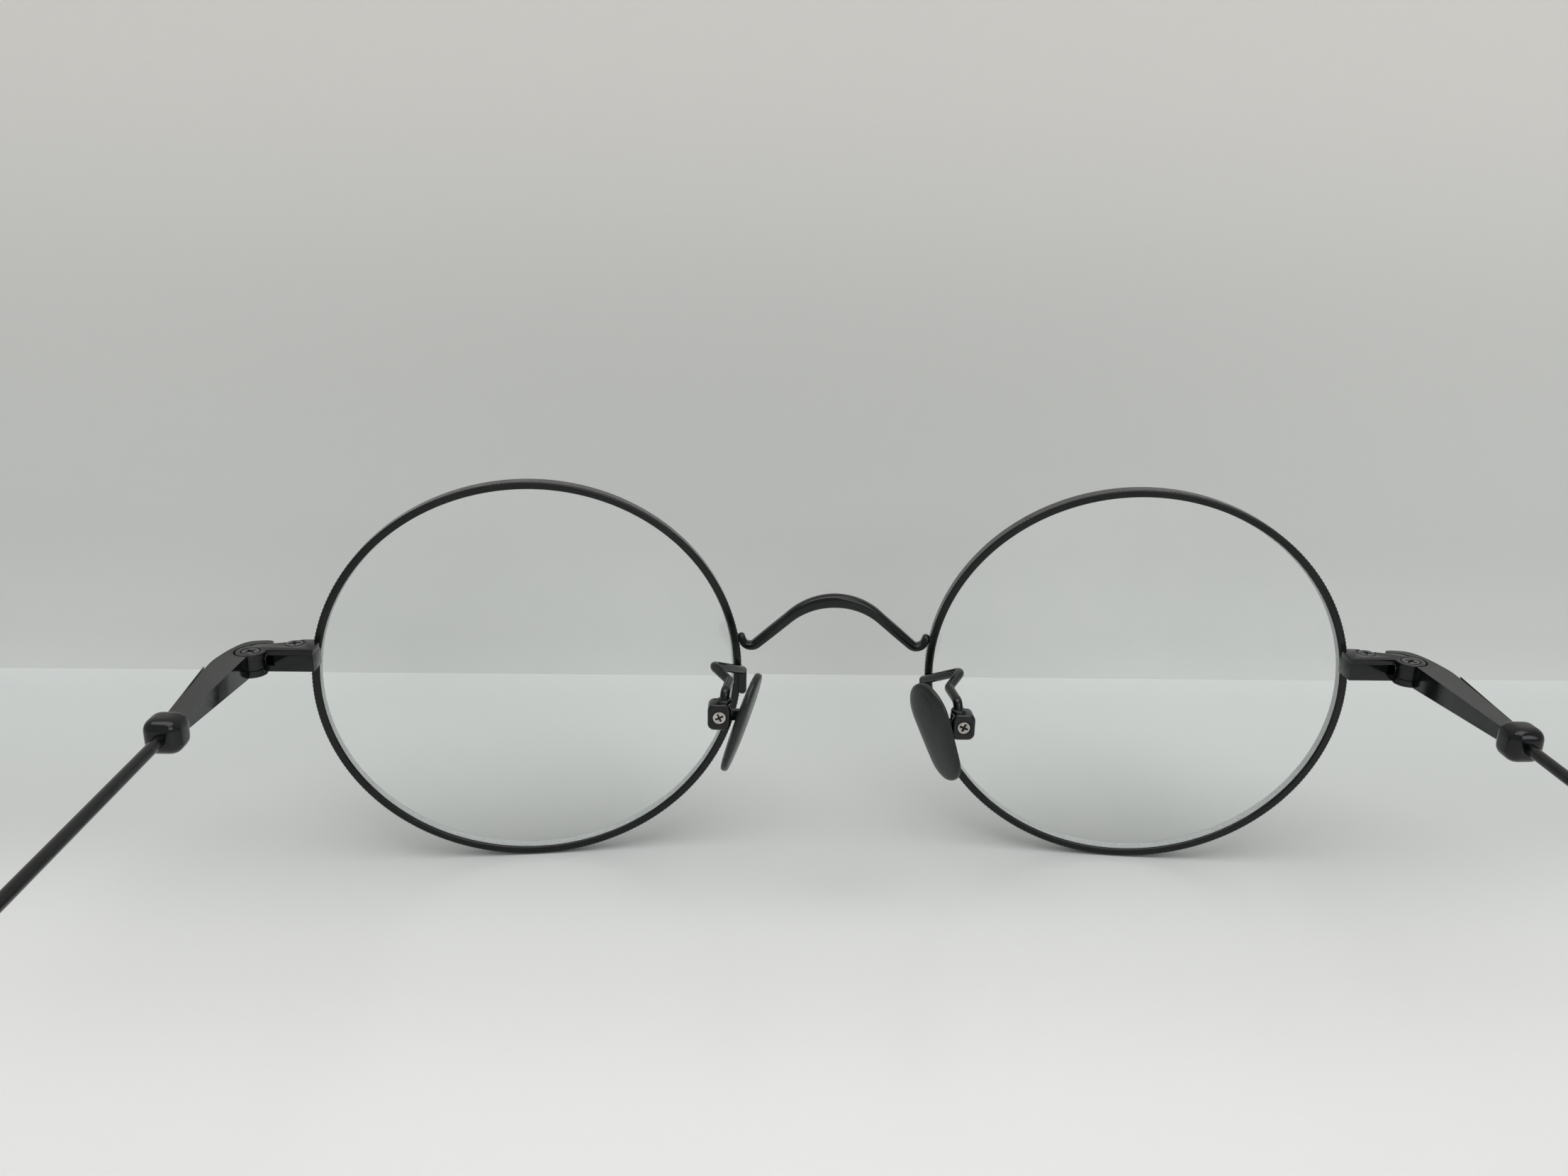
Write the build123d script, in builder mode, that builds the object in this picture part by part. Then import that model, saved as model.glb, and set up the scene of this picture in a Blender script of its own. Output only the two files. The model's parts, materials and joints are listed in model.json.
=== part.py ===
from build123d import *
import os
from math import cos, radians, sin

# Round wire eyeglasses. Millimetres, +Z up. The wearer looks along -Y, so the temples run back
# along +Y, and the wearer's left is +X. The frame stands on its two rim bottoms and two temple
# tips at Z = 0, with the origin under the middle of its box. Every paired piece is modelled on
# the wearer's left and mirrored to the right.

# Front: two elliptical rims, tilted a little and wrapped a little towards the face
EYE_HALF_WIDTH = 22.6
EYE_HALF_HEIGHT = 21.07
RIM_WIRE = 0.82
RIM_DEPTH = 1.9
RIM_SPACING = 67.5
FACE_WRAP = 6.1
FACE_TILT = 2.2
GROOVE_DEPTH = 0.42
GROOVE_WIDTH = 1.3
RIM_SLIT = 0.14
RIM_EDGE_ROUNDING = 0.18
RIM_SLIT_LENGTH = 4.0
FRONT_Y = -65.264

# Lenses: plano demonstration lenses on a shallow base curve
LENS_CURVE_RADIUS = 125.0
LENS_THICKNESS = 1.5
LENS_EDGE_GAP = 0.03
LENS_BULGE = 3.0
SPHERE_POLES_ASIDE = Location((0, 0, 0), (90, 0, 0))

# End pieces: an upper plate over a lower block, split to close the rim, forked at the hinge
HINGE_OUT = 62.12
HINGE_BACK = 5.35
PLATE_ABOVE_RIM_CENTRE = 4.75
BLOCK_HEIGHT = 2.5
PLATE_THICKNESS = 0.65
SPLIT_GAP = 0.03
DISC_RADIUS = 1.55
BLOCK_STEP = 2.15
LUG_THICKNESS = 0.7
KNUCKLE_GAP = 0.05
BLOCK_BACK = 0.45
BLOCK_FRONT = 3.6
BLOCK_INNER_END = 6.25
WAIST_OUT = 2.9
WAIST_FRONT = 2.75
NECK_OUT = 1.7
NECK_FRONT = 2.4

# Screws
LOCK_SCREW_IN = 3.8
LOCK_SCREW_FORWARD = 2.4
HEAD_RADIUS = 1.0
HEAD_HEIGHT = 0.42
SHANK_RADIUS = 0.6
CROSS_WIDTH = 0.3
CROSS_LENGTH = 1.35
CROSS_DEPTH = 0.25
SEAT_GAP = 0.03
SCREW_SHORT_BY = 0.15
LOCK_SCREW_TURN = 20.0
HINGE_SCREW_TURN = 50.0

# Temples: a flat tapered arm, a collar, then round wire to a moulded tip over the ear
KNUCKLE_RADIUS = 1.4
ARM_CLEARANCE = 0.16
ARM_INNER_FACE = 0.15
ARM_LIP_FRONT = 3.15
ARM_WIDEST_OUT = 2.75
ARM_END_OUT = 1.15
ARM_END_IN = 0.5
ARM_TAPER_START = 1.5
ARM_END = 19.5
ARM_TOP_RISE = 0.75
ARM_END_HEIGHT = 1.3
KNUCKLE_WEB_OUT = 1.95
COLLAR_BACK = 20.7
COLLAR_OUT = 0.12
COLLAR_RISE = 0.2
COLLAR_SIZE = 3.45
COLLAR_LENGTH = 3.35
COLLAR_CORNER = 1.1
COLLAR_BACK_ROUNDING = 1.05
COLLAR_FRONT_BEVEL = 0.4
WIRE_RADIUS = 0.56
BEND_START = 90.0
BEND_RADIUS = 22.0
BEND_ANGLE = 40.0
TIP_START = 78.0
TIP_RADIUS = 1.9
TIP_NECK_RADIUS = 1.0
TIP_BEND_RADIUS = 1.45
TIP_STRAIGHT = 15.0
WIRE_END_COVER = 6.0

# Bridge: a flattened arch whose ends dip and curl up against the rims
BRIDGE_FORWARD = 3.4
BRIDGE_DEPTH = 1.5
BRIDGE_CREST_TOP = 8.83
BRIDGE_CREST_UNDER = 7.18
BRIDGE_SLOPE_OUT = (5.6, 6.4)
BRIDGE_SLOPE_IN = (4.78, 5.52)
BRIDGE_END_ROUTE = ((5.19, 5.96), (9.9, 1.8), (10.33, 4.0))
BRIDGE_DIP_RADIUS = 0.95
BRIDGE_ARM_WIDTH = 1.1

# Nose pads: gooseneck arms, boxes, screws, mounts and cushions. The arms are bent by hand to suit
# the nose, so the two sides sit at slightly different heights and turns.
PAD_WIRE_RADIUS = 0.5
PAD_FOOT_HEIGHT = 2.9
PAD_FLANGE_RADIUS = 0.8
PAD_FLANGE_HEIGHT = 0.35
PAD_SCREW_OUT = 12.75
PAD_SCREW_BACK = 10.3
PAD_SCREW_ABOVE = -0.35
BOX_WIDTH = 2.4
BOX_HEIGHT = 2.85
BOX_DEPTH = 1.9
BOX_CORNER = 0.7
BOX_CHAMFER = 0.15
BOX_WALL = 0.25
SLOT_WALL = 0.35
PAD_HEAD_RADIUS = 0.7
PAD_HEAD_HEIGHT = 0.3
PAD_SHANK_RADIUS = 0.4
PAD_SCREW_TURN = 25.0
PAD_CROSS_LENGTH = 0.95
PAD_CROSS_WIDTH = 0.22
PAD_CROSS_DEPTH = 0.18
PAD_TONGUE = 0.75
PAD_TONGUE_RADIUS = 0.85
PAD_TONGUE_LENGTH = 2.2
PAD_TONGUE_HEIGHT = 1.1
PAD_UP = Vector(-0.333, -0.24, 0.913)
PAD_BACK = 9.7
PAD_BELOW = 1.5
PAD_TOP_RADIUS = 3.35
PAD_BOTTOM_RADIUS = 2.65
PAD_LENGTH = 10.9
PAD_THICKNESS = 1.3
PAD_CROWN_RADIUS = 40.0
PAD_EDGE_ROUNDING = 0.2
PAD_OUT = {"left": 10.45, "right": 10.05}
PAD_RISE = {"left": 0.45, "right": -0.5}
FOOT_RISE = {"left": 0.1, "right": -0.9}
PAD_FACE_TURN = {"left": 4.0, "right": 18.0}

# Places worked out from the dimensions above
RIM_Z = (EYE_HALF_HEIGHT + RIM_WIRE) * cos(radians(FACE_TILT)) + RIM_DEPTH * sin(radians(FACE_TILT))
PLATE_Z = RIM_Z + PLATE_ABOVE_RIM_CENTRE
HINGE = Vector(HINGE_OUT, FRONT_Y + HINGE_BACK, PLATE_Z)
COLLAR = HINGE + Vector(COLLAR_OUT, COLLAR_BACK, COLLAR_RISE)
BLOCK_BOTTOM = -BLOCK_HEIGHT
LUG_TOP = BLOCK_BOTTOM + LUG_THICKNESS
RIM_OUTWARD = Vector(1, 0, 0).rotate(Axis.Z, FACE_WRAP)
RIM_FORWARD = Vector(0, -1, 0).rotate(Axis.X, FACE_TILT).rotate(Axis.Z, FACE_WRAP)
RIM_CENTRE = Vector(RIM_SPACING / 2, FRONT_Y, RIM_Z)
BACKWARD = {"x_dir": (1, 0, 0), "z_dir": (0, 1, 0)}

os.makedirs("parts", exist_ok=True)


def save(piece, name):
    """Write one finished piece as its own node."""
    piece.label = name
    export_step(piece, "parts/" + name + ".step")


def save_side(piece, name, side):
    """Write a piece modelled on the left, mirrored across the nose for the right."""
    save(piece if side == "left" else mirror(piece, about=Plane.YZ), name + "_" + side)


def save_pair(piece, name):
    """Write the left piece and its mirror image."""
    for side in ("left", "right"):
        save_side(piece, name, side)


def largest(part):
    """The biggest solid of a part, without the slivers that a cut can leave."""
    return part.solids().sort_by(SortBy.VOLUME)[-1]


def rim_plane(forward):
    """The left rim's plane, moved forward from the rim's back face."""
    return Plane(RIM_CENTRE + RIM_FORWARD * forward, x_dir=RIM_OUTWARD, z_dir=RIM_FORWARD)


def level_plane(above):
    """A level plane over the hinge axis, measured from the end piece's top face."""
    return Plane(HINGE + Vector(0, 0, above))


# ---------------------------------------------------------------- rims and lenses
GROOVE_START = (RIM_DEPTH - GROOVE_WIDTH) / 2
GROOVE_STATIONS = (
    (GROOVE_START, 0.0),
    (RIM_DEPTH / 2, GROOVE_DEPTH),
    (RIM_DEPTH - GROOVE_START, 0.0),
)

with BuildPart() as rim_ring:
    with BuildSketch(rim_plane(0)):
        Ellipse(EYE_HALF_WIDTH + RIM_WIRE, EYE_HALF_HEIGHT + RIM_WIRE)
        Ellipse(EYE_HALF_WIDTH, EYE_HALF_HEIGHT, mode=Mode.SUBTRACT)
    extrude(amount=RIM_DEPTH)
    fillet(rim_ring.faces().sort_by(SortBy.AREA)[:2].edges(), RIM_EDGE_ROUNDING)

with BuildPart() as rim_room:
    with BuildSketch(rim_plane(0)):
        Ellipse(EYE_HALF_WIDTH + RIM_WIRE, EYE_HALF_HEIGHT + RIM_WIRE)
    extrude(amount=RIM_DEPTH + 2)

with BuildPart() as rim:
    add(rim_ring.part)
    for forward, depth in GROOVE_STATIONS:
        with BuildSketch(rim_plane(forward)):
            Ellipse(EYE_HALF_WIDTH + depth, EYE_HALF_HEIGHT + depth)
    loft(ruled=True, mode=Mode.SUBTRACT)
    with BuildSketch(level_plane(-PLATE_THICKNESS - SPLIT_GAP / 2 - RIM_SLIT / 2)):
        with Locations((-BLOCK_INNER_END, -BLOCK_FRONT)):
            Rectangle(RIM_SLIT_LENGTH, RIM_SLIT_LENGTH)
    extrude(amount=RIM_SLIT, mode=Mode.SUBTRACT)
save_pair(rim.part, "rim")

LENS_SAG = EYE_HALF_WIDTH**2 / (2 * LENS_CURVE_RADIUS)
LENS_FRONT = RIM_DEPTH / 2 + LENS_THICKNESS / 2 + LENS_SAG
LENS_BACK = LENS_FRONT - LENS_THICKNESS
with BuildPart() as lens:
    for forward, depth in GROOVE_STATIONS:
        with BuildSketch(rim_plane(forward)):
            Ellipse(EYE_HALF_WIDTH + depth - LENS_EDGE_GAP, EYE_HALF_HEIGHT + depth - LENS_EDGE_GAP)
    loft(ruled=True)
    with BuildSketch(rim_plane(-LENS_BULGE)):
        Ellipse(EYE_HALF_WIDTH - LENS_EDGE_GAP, EYE_HALF_HEIGHT - LENS_EDGE_GAP)
    extrude(amount=RIM_DEPTH + 2 * LENS_BULGE)
    with Locations(rim_plane(LENS_FRONT - LENS_CURVE_RADIUS).location * SPHERE_POLES_ASIDE):
        Sphere(LENS_CURVE_RADIUS, mode=Mode.INTERSECT)
    with Locations(rim_plane(LENS_BACK - LENS_CURVE_RADIUS).location * SPHERE_POLES_ASIDE):
        Sphere(LENS_CURVE_RADIUS, mode=Mode.SUBTRACT)
save_pair(lens.part, "lens")


# ---------------------------------------------------------------- end pieces and their screws
def end_piece_outline(level, grow=0.0):
    """Hourglass outline seen from above: rim end, waist and round hinge disc."""
    front_y = -BLOCK_FRONT - grow
    back_y = -BLOCK_BACK + grow
    with BuildSketch(level_plane(level)) as outline:
        with BuildLine():
            front = Spline(
                (-BLOCK_INNER_END + 0.95, front_y),
                (-LOCK_SCREW_IN - 0.3, front_y + 0.15),
                (-WAIST_OUT, -WAIST_FRONT - grow),
                (-NECK_OUT, -NECK_FRONT - grow),
                (-0.5, -2.15 - grow),
                (0.45 + grow, -DISC_RADIUS - grow),
                tangents=[(1, 0.02), (0.6, 0.8)],
            )
            Polyline(front @ 1, (0, back_y), (-BLOCK_INNER_END, back_y))
            Polyline(front @ 0, (-BLOCK_INNER_END, front_y), (-BLOCK_INNER_END, back_y))
        make_face()
        Circle(DISC_RADIUS + grow)
    return outline.sketch


def screw_solid(head_radius, head_height, shank_radius, length, grow=0.0):
    """Countersunk screw, head top at the origin, shank down -Z; grow makes its seat."""
    with BuildPart() as screw:
        with BuildSketch(Plane.XZ):
            with BuildLine():
                Polyline(
                    (0, 0),
                    (head_radius + grow, 0),
                    (head_radius + grow, -head_height / 2 - grow),
                    (shank_radius + grow, -head_height - grow),
                    (shank_radius + grow, -length - grow),
                    (0, -length - grow),
                    close=True,
                )
            make_face()
        revolve(axis=Axis.Z)
    return screw.part


def cross_slotted(solid, length, width, depth):
    """Cut a cross recess into the top of a screw whose head top is at the origin."""
    with BuildPart() as slotted:
        add(solid)
        with BuildSketch():
            Rectangle(length, width)
            Rectangle(width, length)
        extrude(amount=-depth, mode=Mode.SUBTRACT)
    return slotted.part


LOCK_SCREW_PLACE = HINGE + Vector(-LOCK_SCREW_IN, -LOCK_SCREW_FORWARD, 0)
SCREW_LENGTH = BLOCK_HEIGHT - SCREW_SHORT_BY
screw_blank = screw_solid(HEAD_RADIUS, HEAD_HEIGHT, SHANK_RADIUS, SCREW_LENGTH)
screw_seat = screw_solid(HEAD_RADIUS, HEAD_HEIGHT, SHANK_RADIUS, BLOCK_HEIGHT, SEAT_GAP)
case_screw = cross_slotted(screw_blank, CROSS_LENGTH, CROSS_WIDTH, CROSS_DEPTH)
save_pair(Pos(*LOCK_SCREW_PLACE) * Rot(Z=LOCK_SCREW_TURN) * case_screw, "lock_screw")
save_pair(Pos(*HINGE) * Rot(Z=HINGE_SCREW_TURN) * case_screw, "hinge_screw")
SCREW_SEATS = [Pos(*place) * screw_seat for place in (LOCK_SCREW_PLACE, HINGE)]

with BuildPart() as endpiece_upper:
    add(end_piece_outline(-PLATE_THICKNESS))
    extrude(amount=PLATE_THICKNESS)
    add(rim_room.part, mode=Mode.SUBTRACT)
    for seat in SCREW_SEATS:
        add(seat, mode=Mode.SUBTRACT)
save_pair(largest(endpiece_upper.part), "endpiece_upper")

with BuildPart() as endpiece_lower:
    add(end_piece_outline(BLOCK_BOTTOM))
    extrude(amount=BLOCK_HEIGHT - PLATE_THICKNESS - SPLIT_GAP)
    with BuildSketch(level_plane(LUG_TOP)):
        with Locations((-BLOCK_STEP, 0)):
            Rectangle(BLOCK_INNER_END, 2 * BLOCK_FRONT, align=(Align.MIN, Align.CENTER))
    extrude(amount=BLOCK_HEIGHT, mode=Mode.SUBTRACT)
    add(rim_room.part, mode=Mode.SUBTRACT)
    for seat in SCREW_SEATS:
        add(seat, mode=Mode.SUBTRACT)
save_pair(largest(endpiece_lower.part), "endpiece_lower")

# ---------------------------------------------------------------- temples
with BuildPart() as temple_arm:
    with BuildSketch(level_plane(BLOCK_BOTTOM)):
        with BuildLine():
            outer = Spline(
                (-1.5, -2.72),
                (-0.2, -ARM_LIP_FRONT),
                (1.1, -2.75),
                (2.1, -1.1),
                (ARM_WIDEST_OUT, 1.6),
                (2.62, 6.0),
                (2.0, 12.0),
                (ARM_END_OUT, ARM_END),
                tangents=[(0.3, -0.95), (-0.13, 1)],
            )
            Polyline(
                outer @ 1,
                (-ARM_END_IN, ARM_END),
                (-ARM_INNER_FACE, 2.0),
                (-ARM_INNER_FACE, 0),
                (-1.6, -2.2),
                outer @ 0,
            )
        make_face()
    extrude(amount=BLOCK_HEIGHT + ARM_TOP_RISE + 1)
    with BuildSketch(Plane.YZ.offset(HINGE_OUT - 6)):
        with Locations((HINGE.Y, HINGE.Z)):
            Polygon(
                (-BLOCK_FRONT, BLOCK_BOTTOM),
                (ARM_TAPER_START, BLOCK_BOTTOM),
                (ARM_END + 1, ARM_TOP_RISE - ARM_END_HEIGHT),
                (ARM_END + 1, ARM_TOP_RISE),
                (ARM_TAPER_START, 0),
                (-BLOCK_FRONT, 0),
                align=None,
            )
    extrude(amount=12, mode=Mode.INTERSECT)
    add(end_piece_outline(BLOCK_BOTTOM - 1, ARM_CLEARANCE))
    extrude(amount=BLOCK_HEIGHT + 3, mode=Mode.SUBTRACT)
    with BuildSketch(level_plane(LUG_TOP + KNUCKLE_GAP)):
        Circle(KNUCKLE_RADIUS)
        with Locations((-ARM_INNER_FACE, 0)):
            Rectangle(KNUCKLE_WEB_OUT + ARM_INNER_FACE, KNUCKLE_WEB_OUT, align=(Align.MIN, Align.MIN))
        Circle(SHANK_RADIUS + SEAT_GAP, mode=Mode.SUBTRACT)
    extrude(amount=BLOCK_HEIGHT - PLATE_THICKNESS - LUG_THICKNESS - 2 * KNUCKLE_GAP)
save_pair(largest(temple_arm.part), "temple_arm")

with BuildPart() as temple_collar:
    with BuildSketch(Plane(COLLAR - Vector(0, COLLAR_LENGTH / 2, 0), **BACKWARD)):
        RectangleRounded(COLLAR_SIZE, COLLAR_SIZE, COLLAR_CORNER)
    extrude(amount=COLLAR_LENGTH)
    fillet(temple_collar.edges().group_by(Axis.Y)[-1], COLLAR_BACK_ROUNDING)
    chamfer(temple_collar.edges().group_by(Axis.Y)[0], COLLAR_FRONT_BEVEL)
    add(temple_arm.part, mode=Mode.SUBTRACT)
    with BuildSketch(Plane(COLLAR, **BACKWARD)):
        Circle(WIRE_RADIUS)
    extrude(amount=COLLAR_LENGTH, mode=Mode.SUBTRACT)
save_pair(largest(temple_collar.part), "temple_collar")

BEND_PLACE = Vector(COLLAR.X, HINGE.Y + BEND_START, COLLAR.Z)
BEND_DROP = BEND_RADIUS * (1 - cos(radians(BEND_ANGLE)))
DROP_RUN = (COLLAR.Z - TIP_RADIUS - BEND_DROP) / sin(radians(BEND_ANGLE))
BEND_END = BEND_PLACE + Vector(0, BEND_RADIUS * sin(radians(BEND_ANGLE)), -BEND_DROP)
DOWN_RUN = Vector(0, cos(radians(BEND_ANGLE)), -sin(radians(BEND_ANGLE)))
TIP_END = BEND_END + DOWN_RUN * DROP_RUN
BEND_MIDDLE = BEND_PLACE + Vector(
    0,
    BEND_RADIUS * sin(radians(BEND_ANGLE / 2)),
    -BEND_RADIUS * (1 - cos(radians(BEND_ANGLE / 2))),
)


def wire_along_temple(start, end_cover, radius):
    """Round wire from start, straight back, over the ear bend and down towards the tip."""
    with BuildPart() as wire:
        with BuildLine():
            run = Line(start, BEND_PLACE)
            curve = ThreePointArc(run @ 1, BEND_MIDDLE, BEND_END)
            Line(curve @ 1, TIP_END - DOWN_RUN * end_cover)
        with BuildSketch(Plane(start, **BACKWARD)):
            Circle(radius)
        sweep()
    return wire.part


temple_wire = wire_along_temple(COLLAR, WIRE_END_COVER, WIRE_RADIUS)
save_pair(temple_wire, "temple_wire")

with BuildPart() as temple_tip:
    TIP_ENTRY = Vector(COLLAR.X, HINGE.Y + TIP_START, COLLAR.Z)
    with BuildSketch(Plane(TIP_ENTRY, **BACKWARD)):
        Circle(TIP_NECK_RADIUS)
    with BuildSketch(Plane(BEND_PLACE, **BACKWARD)):
        Circle(TIP_BEND_RADIUS)
    loft(ruled=True)
    with BuildLine():
        ThreePointArc(BEND_PLACE, BEND_MIDDLE, BEND_END)
    with BuildSketch(Plane(BEND_PLACE, **BACKWARD)):
        Circle(TIP_BEND_RADIUS)
    sweep()
    with BuildSketch(Plane(BEND_END, x_dir=(1, 0, 0), z_dir=DOWN_RUN)):
        Circle(TIP_BEND_RADIUS)
    SLEEVE_START = TIP_END - DOWN_RUN * TIP_STRAIGHT
    with BuildSketch(Plane(SLEEVE_START, x_dir=(1, 0, 0), z_dir=DOWN_RUN)):
        Circle(TIP_RADIUS)
    loft(ruled=True)
    with BuildSketch(Plane(SLEEVE_START, x_dir=(1, 0, 0), z_dir=DOWN_RUN)):
        Circle(TIP_RADIUS)
    extrude(amount=TIP_STRAIGHT)
    with Locations(TIP_END):
        Sphere(TIP_RADIUS)
    add(temple_wire, mode=Mode.SUBTRACT)
save_pair(temple_tip.part, "temple_tip")

# ---------------------------------------------------------------- bridge
BRIDGE_PLANE = Plane.XZ.offset(BRIDGE_FORWARD - BRIDGE_DEPTH / 2 - FRONT_Y)


def mirrored(point):
    """The same point on the other side of the nose."""
    return (-point[0], point[1])


with BuildPart() as bridge:
    with BuildSketch(BRIDGE_PLANE):
        with Locations((0, RIM_Z)):
            with BuildSketch(mode=Mode.PRIVATE) as arch:
                with BuildLine():
                    over = ThreePointArc(
                        mirrored(BRIDGE_SLOPE_OUT), (0, BRIDGE_CREST_TOP), BRIDGE_SLOPE_OUT
                    )
                    under = ThreePointArc(
                        mirrored(BRIDGE_SLOPE_IN), (0, BRIDGE_CREST_UNDER), BRIDGE_SLOPE_IN
                    )
                    Line(over @ 0, under @ 0)
                    Line(over @ 1, under @ 1)
                make_face()
            add(arch.sketch)
            for side in (-1, 1):
                with BuildSketch(mode=Mode.PRIVATE) as end:
                    with BuildLine() as end_line:
                        FilletPolyline(
                            *[(side * out, above) for out, above in BRIDGE_END_ROUTE],
                            radius=BRIDGE_DIP_RADIUS,
                        )
                    trace(end_line.line, line_width=BRIDGE_ARM_WIDTH)
                add(end.sketch)
    extrude(amount=BRIDGE_DEPTH)
save(bridge.part, "bridge")


# ---------------------------------------------------------------- nose pads
def from_front(out, back, above):
    """A point given from the middle of the front, at the rims' centre height."""
    return Vector(out, FRONT_Y + back, RIM_Z + above)


def round_wire(route, radius):
    """Round wire along a path, one length and one bend at a time."""
    with BuildPart() as wire:
        for length in route.edges():
            with BuildSketch(Plane(length @ 0, z_dir=length % 0)):
                Circle(radius)
            sweep(path=length)
    return wire.part


def pad_box_and_screw(pivot, side):
    """The pad box, slotted for the mount's tongue, and its cross-slotted screw."""
    screw_top = Plane(pivot + Vector(0, BOX_DEPTH / 2, 0), **BACKWARD)
    screw_sizes = (PAD_HEAD_RADIUS, PAD_HEAD_HEIGHT, PAD_SHANK_RADIUS)
    with BuildPart() as box:
        with BuildSketch(Plane(pivot, **BACKWARD)):
            RectangleRounded(BOX_WIDTH, BOX_HEIGHT, BOX_CORNER)
        extrude(amount=BOX_DEPTH / 2, both=True)
        chamfer(box.edges().group_by(Axis.Y)[-1], BOX_CHAMFER)
        with BuildSketch(Plane(pivot, **BACKWARD)):
            with Locations((BOX_WIDTH / 2 - BOX_WALL, 0)):
                Rectangle(2 * BOX_WIDTH, BOX_HEIGHT - 2 * SLOT_WALL, align=(Align.MAX, Align.CENTER))
        extrude(amount=PAD_TONGUE / 2 + KNUCKLE_GAP, both=True, mode=Mode.SUBTRACT)
        add(screw_top.location * screw_solid(*screw_sizes, BOX_DEPTH, SEAT_GAP), mode=Mode.SUBTRACT)
    blank = screw_solid(*screw_sizes, BOX_DEPTH - SCREW_SHORT_BY)
    slotted = cross_slotted(blank, PAD_CROSS_LENGTH, PAD_CROSS_WIDTH, PAD_CROSS_DEPTH)
    save_side(box.part, "pad_box", side)
    save_side(screw_top.location * Rot(Z=PAD_SCREW_TURN) * slotted, "pad_screw", side)
    return box.part


def pad_arm(box, side):
    """Gooseneck wire: a foot along the rim's nose side, a loop out and back, a flange on the box."""
    foot = from_front(10.35, -2.35, -0.2 + FOOT_RISE[side])
    entry_out = PAD_SCREW_OUT - 0.5
    entry_above = PAD_SCREW_ABOVE + PAD_RISE[side] + BOX_HEIGHT / 2
    with BuildLine() as route:
        FilletPolyline(
            foot,
            from_front(13.6, 3.1, 2.45 + PAD_RISE[side] / 2),
            from_front(11.7, 6.4, 2.25 + PAD_RISE[side]),
            from_front(entry_out - 0.1, PAD_SCREW_BACK - 0.35, 2.1 + PAD_RISE[side]),
            from_front(entry_out, PAD_SCREW_BACK, entry_above - BOX_CHAMFER),
            radius=(1.3, 1.0, 0.6),
        )
    with BuildPart() as arm:
        add(round_wire(route.line, PAD_WIRE_RADIUS))
        with BuildSketch(Plane(foot + Vector(0, 0, PAD_WIRE_RADIUS))):
            Circle(PAD_WIRE_RADIUS + 0.02)
        extrude(amount=-PAD_FOOT_HEIGHT)
        with BuildSketch(Plane(from_front(entry_out, PAD_SCREW_BACK, entry_above))):
            Circle(PAD_FLANGE_RADIUS)
        extrude(amount=PAD_FLANGE_HEIGHT)
        add(rim_ring.part, mode=Mode.SUBTRACT)
        add(box, mode=Mode.SUBTRACT)
    save_side(largest(arm.part), "pad_arm", side)


def pad_and_mount(pivot, side):
    """The crowned leaf-shaped pad and the tongue that joins it to its box."""
    turn = radians(PAD_FACE_TURN[side])
    across = PAD_UP.cross(Vector(-cos(turn), sin(turn), 0)).normalized()
    face = across.cross(PAD_UP).normalized()
    centre = from_front(PAD_OUT[side], PAD_BACK, PAD_RISE[side] - PAD_BELOW)
    with BuildPart() as pad:
        with BuildSketch(Plane(centre, x_dir=across, z_dir=face)):
            with Locations((0, PAD_LENGTH / 2 - PAD_TOP_RADIUS)):
                Circle(PAD_TOP_RADIUS)
            with Locations((0, PAD_BOTTOM_RADIUS - PAD_LENGTH / 2)):
                Circle(PAD_BOTTOM_RADIUS)
            make_hull()
        extrude(amount=PAD_THICKNESS / 2, both=True)
        for outward in (face, -face):
            ball = centre - outward * (PAD_CROWN_RADIUS - PAD_THICKNESS / 2)
            with Locations(Plane(ball, x_dir=face, z_dir=across).location):
                Sphere(PAD_CROWN_RADIUS, mode=Mode.INTERSECT)
        fillet(pad.edges().filter_by(lambda edge: edge.length > PAD_THICKNESS), PAD_EDGE_ROUNDING)
    with BuildPart() as mount:
        with BuildSketch(Plane(pivot, **BACKWARD)):
            Circle(PAD_TONGUE_RADIUS)
            Rectangle(PAD_TONGUE_LENGTH, PAD_TONGUE_HEIGHT, align=(Align.MAX, Align.CENTER))
        extrude(amount=PAD_TONGUE / 2, both=True)
        with BuildSketch(Plane(pivot, **BACKWARD)):
            Circle(PAD_SHANK_RADIUS + SEAT_GAP)
        extrude(amount=PAD_TONGUE, both=True, mode=Mode.SUBTRACT)
        add(pad.part, mode=Mode.SUBTRACT)
    save_side(pad.part, "pad", side)
    save_side(largest(mount.part), "pad_mount", side)


for side in ("left", "right"):
    pivot = from_front(PAD_SCREW_OUT, PAD_SCREW_BACK, PAD_SCREW_ABOVE + PAD_RISE[side])
    box = pad_box_and_screw(pivot, side)
    pad_arm(box, side)
    pad_and_mount(pivot, side)
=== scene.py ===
import json
import math

import bmesh
import bpy
from mathutils import Matrix, Vector


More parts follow.
